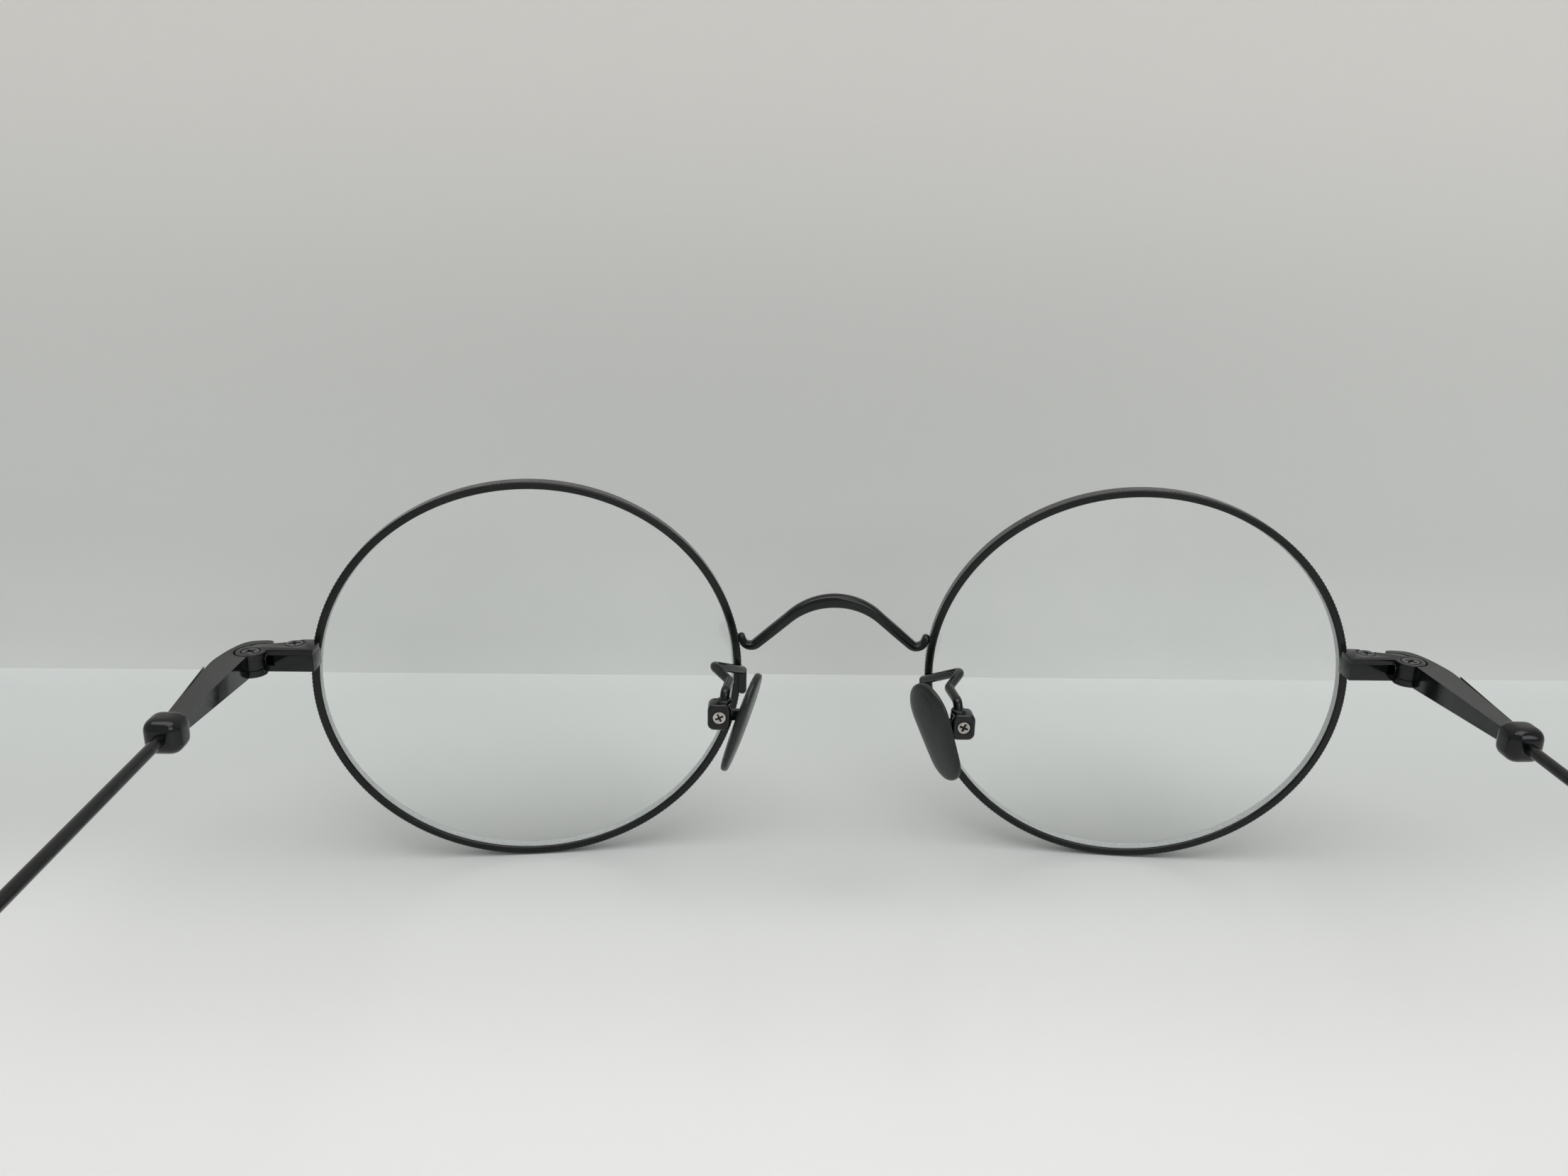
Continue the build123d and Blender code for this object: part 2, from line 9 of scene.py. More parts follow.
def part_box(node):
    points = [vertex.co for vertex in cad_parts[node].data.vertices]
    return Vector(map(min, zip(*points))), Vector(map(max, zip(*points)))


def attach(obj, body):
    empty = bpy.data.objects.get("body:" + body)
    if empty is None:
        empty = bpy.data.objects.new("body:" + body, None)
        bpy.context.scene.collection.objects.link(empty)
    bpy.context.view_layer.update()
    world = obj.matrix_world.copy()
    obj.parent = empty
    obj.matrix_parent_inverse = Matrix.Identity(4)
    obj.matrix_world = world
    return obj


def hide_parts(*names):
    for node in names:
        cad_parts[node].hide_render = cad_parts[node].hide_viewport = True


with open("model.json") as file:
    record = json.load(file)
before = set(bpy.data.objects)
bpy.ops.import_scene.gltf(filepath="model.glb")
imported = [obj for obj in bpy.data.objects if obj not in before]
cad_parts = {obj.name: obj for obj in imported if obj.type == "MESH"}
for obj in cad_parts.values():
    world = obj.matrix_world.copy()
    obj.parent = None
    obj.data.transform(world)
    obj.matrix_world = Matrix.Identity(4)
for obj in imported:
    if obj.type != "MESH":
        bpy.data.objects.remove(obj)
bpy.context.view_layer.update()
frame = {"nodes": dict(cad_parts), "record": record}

scene = bpy.context.scene
MM = 0.001
SIDES = (("left", 1), ("right", -1))
BODY_OF = {name: body for body, names in frame["record"]["behaviour"]["bodies"].items() for name in names}


# ---------------------------------------------------------------- working with objects
def deselect_all():
    """Nothing selected and nothing active, so the next operator acts on its own piece only."""
    for other in list(bpy.context.selected_objects):
        other.select_set(False)
    bpy.context.view_layer.objects.active = None


def only(piece):
    """Select and activate one piece."""
    deselect_all()
    piece.select_set(True)
    bpy.context.view_layer.objects.active = piece
    return piece


def apply_modifiers(piece):
    """Apply every modifier on the piece, in order."""
    only(piece)
    for modifier in list(piece.modifiers):
        bpy.ops.object.modifier_apply(modifier=modifier.name)
    return piece


def settle(piece):
    """Put the piece's place into its mesh, so its object sits at the origin."""
    only(piece)
    bpy.ops.object.transform_apply(location=True, rotation=True, scale=True)
    return piece


def smooth(piece, angle=40):
    """Smooth shading that keeps the edges sharper than the angle."""
    only(piece)
    bpy.ops.object.shade_smooth_by_angle(angle=math.radians(angle))
    return piece


def fit(piece, name, body, slot, material, *replaced):
    """Name a finished piece, give it its finish and hang it on its body."""
    piece.name = name
    piece.data.name = name
    piece.data.materials.clear()
    piece.data.materials.append(material)
    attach(piece, body)
    if replaced:
        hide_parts(*replaced)
    return piece


SEAM_DISTANCE = 0.000002
SOFT_EDGE_ANGLE = math.radians(28)
SOFT_SMOOTH_ANGLE = 35


def merged_copy(node, flatness=1.0):
    """A separate copy of a frame node's mesh with its seams merged and flat faces joined up."""
    deselect_all()
    source = frame["nodes"][node]
    piece = bpy.data.objects.new(node + "_soft", source.data.copy())
    scene.collection.objects.link(piece)
    only(piece)
    bpy.ops.object.mode_set(mode="EDIT")
    bpy.ops.mesh.select_all(action="SELECT")
    bpy.ops.mesh.remove_doubles(threshold=SEAM_DISTANCE)
    if flatness:
        bpy.ops.mesh.dissolve_limited(angle_limit=math.radians(flatness))
    bpy.ops.object.mode_set(mode="OBJECT")
    if piece.data.has_custom_normals:
        bpy.ops.mesh.customdata_custom_splitnormals_clear()
    return piece


def softened(node, width, segments):
    """A copy of a frame node with its sharp edges rounded over."""
    piece = merged_copy(node)
    bevel = piece.modifiers.new("Rounded edges", "BEVEL")
    bevel.width = width
    bevel.segments = segments
    bevel.limit_method = "ANGLE"
    bevel.angle_limit = SOFT_EDGE_ANGLE
    bevel.harden_normals = False
    apply_modifiers(piece)
    return smooth(piece, SOFT_SMOOTH_ANGLE)


# ---------------------------------------------------------------- materials
def new_material(name):
    """An empty node material with a Principled shader on its output."""
    material = bpy.data.materials.new(name)
    material.use_nodes = True
    nodes = material.node_tree.nodes
    nodes.clear()
    output = nodes.new("ShaderNodeOutputMaterial")
    shader = nodes.new("ShaderNodeBsdfPrincipled")
    material.node_tree.links.new(shader.outputs["BSDF"], output.inputs["Surface"])
    return material, nodes, material.node_tree.links, shader


def object_noise(nodes, links, scale, detail):
    """Noise on Object coordinates at a scale in cells per metre."""
    coordinates = nodes.new("ShaderNodeTexCoord")
    noise = nodes.new("ShaderNodeTexNoise")
    noise.inputs["Scale"].default_value = scale
    noise.inputs["Detail"].default_value = detail
    links.new(coordinates.outputs["Object"], noise.inputs["Vector"])
    return noise


NOISE_LOW, NOISE_HIGH = 0.3, 0.7
RAMP_LOW, RAMP_HIGH = 0.35, 0.65


def remap(nodes, links, source, low, high):
    """Stretch a noise value's usual range into a working range."""
    spread = nodes.new("ShaderNodeMapRange")
    spread.inputs["From Min"].default_value = NOISE_LOW
    spread.inputs["From Max"].default_value = NOISE_HIGH
    spread.inputs["To Min"].default_value = low
    spread.inputs["To Max"].default_value = high
    links.new(source, spread.inputs["Value"])
    return spread.outputs["Result"]


def two_tones(nodes, links, source, dark, light):
    """A ramp between two colours driven by a noise value."""
    ramp = nodes.new("ShaderNodeValToRGB")
    ramp.color_ramp.elements[0].position = RAMP_LOW
    ramp.color_ramp.elements[0].color = (*dark, 1)
    ramp.color_ramp.elements[1].position = RAMP_HIGH
    ramp.color_ramp.elements[1].color = (*light, 1)
    links.new(source, ramp.inputs["Fac"])
    return ramp.outputs["Color"]


def bump(nodes, links, source, distance, strength):
    """A bump of a real depth in metres."""
    node = nodes.new("ShaderNodeBump")
    node.inputs["Strength"].default_value = strength
    node.inputs["Distance"].default_value = distance
    links.new(source, node.inputs["Height"])
    return node.outputs["Normal"]


MOTTLE_SCALE, MOTTLE_DETAIL = 420, 4
PEEL_SCALE, PEEL_DETAIL = 6000, 2
PEEL_DEPTH, PEEL_STRENGTH = 0.0000012, 0.6
MOULDED_PEEL_SCALE = 2600
PAD_PEEL_DEPTH = 0.000003
TIP_PEEL_DEPTH = 0.000004


def plated(name, dark, light, rough, metallic=0.0, ior=1.5, grain=PEEL_DEPTH, grain_scale=PEEL_SCALE):
    """Plated metal or moulded plastic: mottled tone, uneven gloss and a very fine orange peel."""
    material, nodes, links, shader = new_material(name)
    mottle = object_noise(nodes, links, MOTTLE_SCALE, MOTTLE_DETAIL)
    peel = object_noise(nodes, links, grain_scale, PEEL_DETAIL)
    links.new(two_tones(nodes, links, mottle.outputs["Fac"], dark, light), shader.inputs["Base Color"])
    links.new(remap(nodes, links, mottle.outputs["Fac"], *rough), shader.inputs["Roughness"])
    links.new(bump(nodes, links, peel.outputs["Fac"], grain, PEEL_STRENGTH), shader.inputs["Normal"])
    shader.inputs["Metallic"].default_value = metallic
    shader.inputs["IOR"].default_value = ior
    return material


BLACK = plated("Black plating", (0.0020, 0.0026, 0.0028), (0.0045, 0.0052, 0.0055),
               rough=(0.08, 0.17), ior=1.38)
RIM_BLACK = plated("Black rim plating", (0.0020, 0.0025, 0.0026), (0.0048, 0.0053, 0.0054),
                   rough=(0.18, 0.30), ior=1.36)
BEAD_BLACK = plated("Beaded edge plating", (0.006, 0.007, 0.007), (0.014, 0.015, 0.015),
                    rough=(0.10, 0.18), ior=1.9)
SCREW_BLACK = plated("Blackened screw", (0.0030, 0.0036, 0.004), (0.009, 0.0098, 0.0105),
                     rough=(0.12, 0.22), ior=1.75)
# Near-black dull metal for the pad screws' cross recesses: painted shade, not the screw's own finish.
SCREW_RECESS_PAINTED_SHADE = plated("Screw recess", (0.020, 0.019, 0.018), (0.060, 0.057, 0.053),
                      rough=(0.30, 0.45), metallic=1.0)
SCREW_SILVER = plated("Bright screw", (0.34, 0.325, 0.30), (0.60, 0.58, 0.55),
                      rough=(0.12, 0.24), metallic=1.0)
PAD_GREY = plated("Satin nose pad", (0.0066, 0.0086, 0.0083), (0.0118, 0.0142, 0.0136),
                  rough=(0.22, 0.34), ior=1.40, grain=PAD_PEEL_DEPTH, grain_scale=MOULDED_PEEL_SCALE)
TIP_BLACK = plated("Moulded tip", (0.0032, 0.0036, 0.0040), (0.0072, 0.0078, 0.0084),
                   rough=(0.24, 0.36), ior=1.45, grain=TIP_PEEL_DEPTH, grain_scale=MOULDED_PEEL_SCALE)

GLASS_IOR = 1.5
HAZE_SCALE, HAZE_DETAIL, HAZE_ROUGHNESS = 160, 3, 0.012
GRIND_SCALE, GRIND_DETAIL, GRIND_DEPTH, GRIND_STRENGTH = 5200, 2, 0.00001, 0.5
GRIND_ROUGHNESS = (0.45, 0.65)


def lens_glass():
    """Clear coated lens: full transmission with a faint cool tint and barely uneven polish."""
    material, nodes, links, shader = new_material("Clear lens")
    haze = object_noise(nodes, links, HAZE_SCALE, HAZE_DETAIL)
    links.new(
        two_tones(nodes, links, haze.outputs["Fac"], (0.975, 0.99, 0.985), (0.99, 1.0, 0.995)),
        shader.inputs["Base Color"],
    )
    links.new(remap(nodes, links, haze.outputs["Fac"], 0.0, HAZE_ROUGHNESS), shader.inputs["Roughness"])
    shader.inputs["Transmission Weight"].default_value = 1.0
    shader.inputs["IOR"].default_value = GLASS_IOR
    return material


def ground_glass():
    """The lens's ground bevel: a pale frosted edge."""
    material, nodes, links, shader = new_material("Ground lens edge")
    grind = object_noise(nodes, links, GRIND_SCALE, GRIND_DETAIL)
    links.new(
        two_tones(nodes, links, grind.outputs["Fac"], (0.72, 0.76, 0.75), (0.88, 0.91, 0.90)),
        shader.inputs["Base Color"],
    )
    links.new(remap(nodes, links, grind.outputs["Fac"], *GRIND_ROUGHNESS), shader.inputs["Roughness"])
    links.new(bump(nodes, links, grind.outputs["Fac"], GRIND_DEPTH, GRIND_STRENGTH), shader.inputs["Normal"])
    return material


LENS = lens_glass()
LENS_EDGE = ground_glass()

# ---------------------------------------------------------------- finishes of the frame's own nodes
FINISHES = {
    "rim": RIM_BLACK,
    "lens": LENS,
    "endpiece_upper": BLACK,
    "endpiece_lower": BLACK,
    "lock_screw": SCREW_BLACK,
    "hinge_screw": SCREW_BLACK,
    "temple_arm": BLACK,
    "temple_collar": BLACK,
    "temple_wire": BLACK,
    "temple_tip": TIP_BLACK,
    "pad_box": BLACK,
    "pad_screw": SCREW_SILVER,
    "pad_arm": BLACK,
    "pad": PAD_GREY,
    "pad_mount": BLACK,
}
for node, piece in frame["nodes"].items():
    kind = node.replace("_left", "").replace("_right", "")
    piece.data.materials.clear()
    piece.data.materials.append(FINISHES.get(kind, BLACK))
SLOT_OF = {part["node"]: part["material_slot"] for part in frame["record"]["subparts"]}

# ---------------------------------------------------------------- sizes shared with the frame, in metres
FRONT_Y = -65.264 * MM
RIM_Z = 21.947 * MM
RIM_HALF_WIDTH = 23.42 * MM
RIM_HALF_HEIGHT = 21.89 * MM
RIM_SPACING = 67.5 * MM
FACE_WRAP = math.radians(6.1)
FACE_TILT = math.radians(2.2)


def rim_frame(sign):
    """Matrix of a rim's own frame: X outward, Y up, Z forward, from the middle of its back face."""
    turn = Matrix.Rotation(FACE_WRAP, 4, "Z") @ Matrix.Rotation(FACE_TILT, 4, "X")
    outward = Matrix.Rotation(FACE_WRAP, 4, "Z") @ Vector((1, 0, 0))
    forward = turn @ Vector((0, -1, 0))
    upward = forward.cross(outward)
    place = Matrix((
        (outward.x, upward.x, forward.x, RIM_SPACING / 2),
        (outward.y, upward.y, forward.y, FRONT_Y),
        (outward.z, upward.z, forward.z, RIM_Z),
        (0, 0, 0, 1),
    ))
    return Matrix.Scale(sign, 4, (1, 0, 0)) @ place


def face_outwards(piece):
    """Turn every face of a closed piece outwards."""
    only(piece)
    bpy.ops.object.mode_set(mode="EDIT")
    bpy.ops.mesh.select_all(action="SELECT")
    bpy.ops.mesh.normals_make_consistent(inside=False)
    bpy.ops.object.mode_set(mode="OBJECT")
    return piece


def mirror_across_nose(piece, sign):
    """The same piece for the other side, with its faces turned outwards again."""
    if sign < 0:
        piece.data.transform(Matrix.Scale(-1, 4, (1, 0, 0)))
        face_outwards(piece)
    return piece


def joined(parts):
    """Several finished solids as one piece."""
    deselect_all()
    for part in parts:
        part.select_set(True)
    bpy.context.view_layer.objects.active = parts[0]
    bpy.ops.object.join()
    return bpy.context.view_layer.objects.active


# ---------------------------------------------------------------- wire and bar along a path
def rounded_route(points, radii, steps=7):
    """Points along straight runs joined by round bends of the given radii."""
    route = [Vector(points[0])]
    for before, corner, after, radius in zip(points, points[1:], points[2:], radii):
        corner = Vector(corner)
        back = (Vector(before) - corner).normalized()
        on = (Vector(after) - corner).normalized()
        half = back.angle(on) / 2
        reach = radius / math.tan(half)
        centre = corner + (back + on).normalized() * (radius / math.sin(half))
        start = corner + back * reach - centre
        end = corner + on * reach - centre
        for step in range(steps + 1):
            route.append(centre + start.slerp(end, step / steps).normalized() * radius)
    route.append(Vector(points[-1]))
    return route


def section_frames(points, sizes, flat):
    """A matrix for the section at each point: across, along flat, and the path's own direction."""
    frames = []
    across = None
    for index, point in enumerate(points):
        before = points[max(index - 1, 0)]
        after = points[min(index + 1, len(points) - 1)]
        ahead = (after - before).normalized()
        if flat is not None:
            across = Vector(flat).cross(ahead).normalized()
        elif across is None:
            across = ahead.orthogonal().normalized()
        else:
            across = (across - ahead * across.dot(ahead)).normalized()
        other = ahead.cross(across).normalized()
        wide, deep = sizes[index]
        frames.append(Matrix((
            (across.x * wide, other.x * deep, ahead.x, point.x),
            (across.y * wide, other.y * deep, ahead.y, point.y),
            (across.z * wide, other.z * deep, ahead.z, point.z),
            (0, 0, 0, 1),
        )))
    return frames


def squared_circle(piece, squareness):
    """Push a unit circle part of the way out towards a square with round corners."""
    for vertex in piece.data.vertices:
        angle = math.atan2(vertex.co.y, vertex.co.x)
        vertex.co.x = math.copysign(abs(math.cos(angle)) ** squareness, math.cos(angle))
        vertex.co.y = math.copysign(abs(math.sin(angle)) ** squareness, math.sin(angle))


def swept(points, sizes, flat=None, sides=20, squareness=1.0):
    """Extrude a round or squared section along the points, with its half sizes at each point."""
    deselect_all()
    bpy.ops.mesh.primitive_circle_add(vertices=sides, radius=1, fill_type="NGON", location=(0, 0, 0))
    piece = bpy.context.active_object
    squared_circle(piece, squareness)
    frames = section_frames(points, sizes, flat)
    piece.data.transform(frames[0])
    bpy.ops.object.mode_set(mode="EDIT")
    bpy.ops.mesh.select_all(action="SELECT")
    for before, after in zip(frames, frames[1:]):
        bpy.ops.mesh.extrude_region_move()
        shape = bmesh.from_edit_mesh(piece.data)
        step = after @ before.inverted()
        for vertex in shape.verts:
            if vertex.select:
                vertex.co = step @ vertex.co
        bmesh.update_edit_mesh(piece.data)
    bpy.ops.object.mode_set(mode="OBJECT")
    return face_outwards(piece)


ROUND_END = ((0.45, 0.89), (0.78, 0.62), (0.95, 0.31), (1.0, 0.06))


def round_nose(last, inner, size):
    """Stations past the last point, each a little smaller, in a round nose."""
    ahead = (last - inner).normalized() * min(size)
    return [(last + ahead * far, tuple(half * part for half in size)) for far, part in ROUND_END]


def with_round_ends(points, sizes, start=True, end=True):
    """Stations added past the ends so that a bar closes in a round nose."""
    stations = list(zip(points, sizes))
    if start:
        stations = round_nose(points[0], points[1], sizes[0])[::-1] + stations
    if end:
        stations += round_nose(points[-1], points[-2], sizes[-1])
    return [point for point, size in stations], [size for point, size in stations]


# ---------------------------------------------------------------- bridge
BRIDGE_FORWARD = 3.4 * MM
BRIDGE_HALF_DEPTH = 0.72 * MM
BRIDGE_CREST = 8.0 * MM
BRIDGE_ARCH_RADIUS = 7.62 * MM
BRIDGE_ARCH_HALF_ANGLE = math.radians(42.9)
BRIDGE_CREST_HALF = 0.80 * MM
BRIDGE_SLOPE_HALF = 0.60 * MM
BRIDGE_DIP_HALF = 0.47 * MM
BRIDGE_KNOB_HALF = 0.43 * MM
BRIDGE_END_ROUTE = ((5.19, 5.96), (9.92, 1.84), (10.5, 3.62))
BRIDGE_DIP_RADIUS = 0.95 * MM
BRIDGE_FIRST_STATION = 0.5
BRIDGE_SLIM_POWER = 1.5
BRIDGE_DIP_RATE = 2.2
BRIDGE_KNOB_POWER = 3
BRIDGE_SQUARENESS = 0.72
ARCH_STEPS = 12


def bridge_point(out, above):
    """A point on the bridge's middle plane."""
    return Vector((out, FRONT_Y - BRIDGE_FORWARD, RIM_Z + above))


def make_bridge():
    """One bar: knob, dip and slope, the arch, and the same again, slimmer towards both knobs."""
    end = rounded_route(
        [bridge_point(out * MM, above * MM) for out, above in BRIDGE_END_ROUTE],
        [BRIDGE_DIP_RADIUS],
    )
    end[0] = end[0].lerp(end[1], BRIDGE_FIRST_STATION)
    half = []
    for step in range(ARCH_STEPS + 1):
        angle = BRIDGE_ARCH_HALF_ANGLE * step / ARCH_STEPS
        share = step / ARCH_STEPS
        place = bridge_point(
            BRIDGE_ARCH_RADIUS * math.sin(angle),
            BRIDGE_CREST - BRIDGE_ARCH_RADIUS * (1 - math.cos(angle)),
        )
        slimming = (BRIDGE_SLOPE_HALF - BRIDGE_CREST_HALF) * share**BRIDGE_SLIM_POWER
        half.append((place, BRIDGE_CREST_HALF + slimming))
    for index, place in enumerate(end):
        share = index / (len(end) - 1)
        wide = BRIDGE_SLOPE_HALF + (BRIDGE_DIP_HALF - BRIDGE_SLOPE_HALF) * min(1, share * BRIDGE_DIP_RATE)
        wide += (BRIDGE_KNOB_HALF - BRIDGE_DIP_HALF) * share**BRIDGE_KNOB_POWER
        half.append((place, wide))
    other = [(Vector((-place.x, place.y, place.z)), wide) for place, wide in reversed(half[1:])]
    stations = other + half
    sizes = [(wide, BRIDGE_HALF_DEPTH * min(1, wide / BRIDGE_DIP_HALF)) for place, wide in stations]
    points, sizes = with_round_ends([place for place, wide in stations], sizes)
    return smooth(swept(points, sizes, flat=(0, 1, 0), sides=24, squareness=BRIDGE_SQUARENESS), 60)


fit(make_bridge(), "bridge_bar", "front", "black_frame", BLACK, "bridge")

# ---------------------------------------------------------------- rims' beaded edge
BEAD_RADIUS = 0.125 * MM
BEAD_PITCH = 0.47 * MM
BEAD_INSET = 0.07 * MM
BEAD_FORWARD = 0.17 * MM
BEAD_FLATTENING = 0.85
WALK_STEPS = 4000


def make_beading(sign):
    """A fine row of beads round the rim's rear outer edge, evenly spaced along the oval."""
    wide = RIM_HALF_WIDTH - BEAD_INSET
    high = RIM_HALF_HEIGHT - BEAD_INSET
    walk = [0.0]
    for step in range(WALK_STEPS):
        here, there = (2 * math.pi * (step + more) / WALK_STEPS for more in (0, 1))
        walk.append(walk[-1] + math.hypot(
            wide * (math.cos(there) - math.cos(here)), high * (math.sin(there) - math.sin(here))
        ))
    count = round(walk[-1] / BEAD_PITCH)
    deselect_all()
    bpy.ops.mesh.primitive_uv_sphere_add(segments=8, ring_count=5, radius=BEAD_RADIUS, location=(0, 0, 0))
    first = bpy.context.active_object
    first.data.transform(Matrix.Scale(BEAD_FLATTENING, 4, (0, 0, 1)))
    beads = [first]
    for index in range(1, count):
        bead = first.copy()
        bead.data = first.data.copy()
        scene.collection.objects.link(bead)
        beads.append(bead)
    spot = 0
    for index, bead in enumerate(beads):
        while walk[spot + 1] < walk[-1] * index / count:
            spot += 1
        angle = 2 * math.pi * spot / WALK_STEPS
        move = Matrix.Translation((wide * math.cos(angle), high * math.sin(angle), BEAD_FORWARD))
        bead.data.transform(rim_frame(sign) @ move @ Matrix.Rotation(angle, 4, "Z"))
    row = joined(beads)
    return smooth(face_outwards(row) if sign < 0 else row, 80)


for side, sign in SIDES:
    fit(make_beading(sign), "rim_beading_" + side, "front", "black_frame", BEAD_BLACK)

# ---------------------------------------------------------------- lenses with a ground edge
FACE_TOWARDS_AXIS = 0.9

for side, sign in SIDES:
    lens = merged_copy("lens_" + side, 0.0)
    smooth(lens, 30)
    fit(lens, "lens_ground_" + side, "front", "clear_lens", LENS, "lens_" + side)
    lens.data.materials.append(LENS_EDGE)
    optical_axis = (rim_frame(sign).to_3x3() @ Vector((0, 0, 1))).normalized()
    for face in lens.data.polygons:
        polished = abs(face.normal.dot(optical_axis)) > FACE_TOWARDS_AXIS
        face.material_index = 0 if polished else 1

# ---------------------------------------------------------------- hinge pieces with softened edges
SOFT_EDGES = (
    ("endpiece_upper", 0.10, 3),
    ("endpiece_lower", 0.10, 3),
    ("temple_arm", 0.24, 4),
    ("lock_screw", 0.07, 2),
    ("hinge_screw", 0.07, 2),
    ("pad_box", 0.13, 3),
    ("pad_screw", 0.04, 2),
    ("pad_mount", 0.08, 2),
)
HEAD_SHRINK = {"lock_screw": 0.92, "hinge_screw": 0.92, "pad_screw": 0.95}


def slimmed(piece, node, part):
    """Draw a screw in towards its own axis, so that a dark seat line shows round its head."""
    low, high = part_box(node)
    middle = (low + high) / 2
    axis = 1 if node.startswith("pad_screw") else 2
    factors = [1.0 if index == axis else part for index in range(3)]
    slim = Matrix.Diagonal((*factors, 1.0))
    piece.data.transform(Matrix.Translation(middle) @ slim @ Matrix.Translation(-middle))


# Depth below the head's top and reach from the axis of the recess faces that get painted shade.
PAINTED_SHADE_BELOW_TOP = 0.05 * MM
PAINTED_SHADE_REACH = 0.6 * MM


def paint_recess_shade(piece, node):
    """Paint shade into the floor and walls of a pad screw's cross recess: near-black dull metal stands in
    for the shade that falls there.
    """
    low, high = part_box(node)
    piece.data.materials.append(SCREW_RECESS_PAINTED_SHADE)
    for face in piece.data.polygons:
        reach = math.hypot(face.center.x - (low.x + high.x) / 2, face.center.z - (low.z + high.z) / 2)
        if face.center.y < high.y - PAINTED_SHADE_BELOW_TOP and reach < PAINTED_SHADE_REACH:
            face.material_index = 1


for kind, width, segments in SOFT_EDGES:
    for side, _ in SIDES:
        node = kind + "_" + side
        piece = softened(node, width * MM, segments)
        if kind in HEAD_SHRINK:
            slimmed(piece, node, HEAD_SHRINK[kind])
        fit(piece, node + "_soft", BODY_OF[node], SLOT_OF[node], FINISHES[kind], node)
        # The pad screw's cross recess gets painted shade.
        if kind == "pad_screw":
            paint_recess_shade(piece, node)

# ---------------------------------------------------------------- collars
HINGE = Vector((62.12 * MM, FRONT_Y + 5.35 * MM, RIM_Z + 4.75 * MM))
COLLAR = HINGE + Vector((0.12 * MM, 20.7 * MM, 0.2 * MM))
COLLAR_SIZE = 3.45 * MM
COLLAR_LENGTH = 3.35 * MM
COLLAR_BACK_BEVEL = 1.2 * MM
COLLAR_BACK_SEGMENTS = 7
COLLAR_BACK_PROFILE = 0.52
COLLAR_FRONT_BEVEL = 0.34 * MM
COLLAR_FRONT_SEGMENTS = 2
LENGTHWISE = 0.9
EDGE_REACH = 0.01 * MM
SHOULDER_SUNK = 0.13 * MM
SHOULDER_STATIONS = ((-0.5, 0.95), (-0.12, 0.95), (0.02, 0.9), (0.10, 0.78), (0.13, 0.6))


def edges_near(piece, test):
    """In edit mode, select only the edges whose two ends pass the test."""
    shape = bmesh.from_edit_mesh(piece.data)
    bpy.ops.mesh.select_all(action="DESELECT")
    for edge in shape.edges:
        if test(edge):
            edge.select = True
    shape.select_flush_mode()
    bmesh.update_edit_mesh(piece.data)


def make_collar():
    """A cushion-shaped block: crisp bevel to the front, domed to the back, shoulder at the wire."""
    deselect_all()
    bpy.ops.mesh.primitive_cube_add(size=COLLAR_SIZE, location=(0, 0, 0))
    block = bpy.context.active_object
    block.scale.y = COLLAR_LENGTH / COLLAR_SIZE
    settle(block)
    rear = COLLAR_LENGTH / 2 - EDGE_REACH
    bpy.ops.object.mode_set(mode="EDIT")
    edges_near(block, lambda edge: all(v.co.y > rear for v in edge.verts)
               or (edge.verts[0].co - edge.verts[1].co).normalized().y ** 2 > LENGTHWISE)
    bpy.ops.mesh.bevel(offset=COLLAR_BACK_BEVEL, segments=COLLAR_BACK_SEGMENTS,
                       profile=COLLAR_BACK_PROFILE, affect="EDGES")
    edges_near(block, lambda edge: all(v.co.y < -rear for v in edge.verts))
    bpy.ops.mesh.bevel(offset=COLLAR_FRONT_BEVEL, segments=COLLAR_FRONT_SEGMENTS,
                       profile=0.5, affect="EDGES")
    bpy.ops.object.mode_set(mode="OBJECT")
    block.data.transform(Matrix.Translation(COLLAR))
    smooth(block, 35)
    shoulder_back = COLLAR.y + COLLAR_LENGTH / 2 - SHOULDER_SUNK
    shoulder = swept(
        [Vector((COLLAR.x, shoulder_back + far * MM, COLLAR.z)) for far, radius in SHOULDER_STATIONS],
        [(radius * MM, radius * MM) for far, radius in SHOULDER_STATIONS],
        sides=28,
    )
    return joined([block, smooth(shoulder, 50)])


for side, sign in SIDES:
    node = "temple_collar_" + side
    collar = mirror_across_nose(make_collar(), sign)
    fit(collar, node + "_cushion", BODY_OF[node], "black_frame", BLACK, node)

# ---------------------------------------------------------------- pad arms
PAD_SCREW_OUT = 12.75
PAD_SCREW_BACK = 10.3
PAD_SCREW_ABOVE = -0.35
BOX_HEIGHT = 2.85
PAD_WIRE = 0.5 * MM
PAD_RISE = {"left": 0.45, "right": -0.5}
FOOT_RISE = {"left": 0.1, "right": -0.9}
KNEE_ABOVE = {"left": 2.25, "right": 1.65}
FOOT_OUT, FOOT_BACK, FOOT_ABOVE = 10.35, -2.35, -0.2
FOOT_HEIGHT = 2.35 * MM
OUTER_BEND_OUT, OUTER_BEND_BACK, OUTER_BEND_ABOVE = 13.6, 3.1, 2.45
KNEE_OUT, KNEE_BACK = 11.75, 6.4
ENTRY_INSIDE_SCREW = 0.5
LAST_BEND_INSIDE, LAST_BEND_AHEAD, LAST_BEND_ABOVE = 0.1, 0.35, 2.1
STRIP_LAP = 0.2 * PAD_WIRE
BEND_RADII = (1.3 * MM, 1.0 * MM, 0.6 * MM)
FLANGE_STATIONS = ((-0.05, 0.74), (0.0, 0.8), (0.2, 0.8), (0.29, 0.74), (0.34, 0.62), (0.37, 0.5))


def from_front(out, back, above):
    """A point in millimetres from the middle of the front, at the rims' centre height."""
    return Vector((out * MM, FRONT_Y + back * MM, RIM_Z + above * MM))


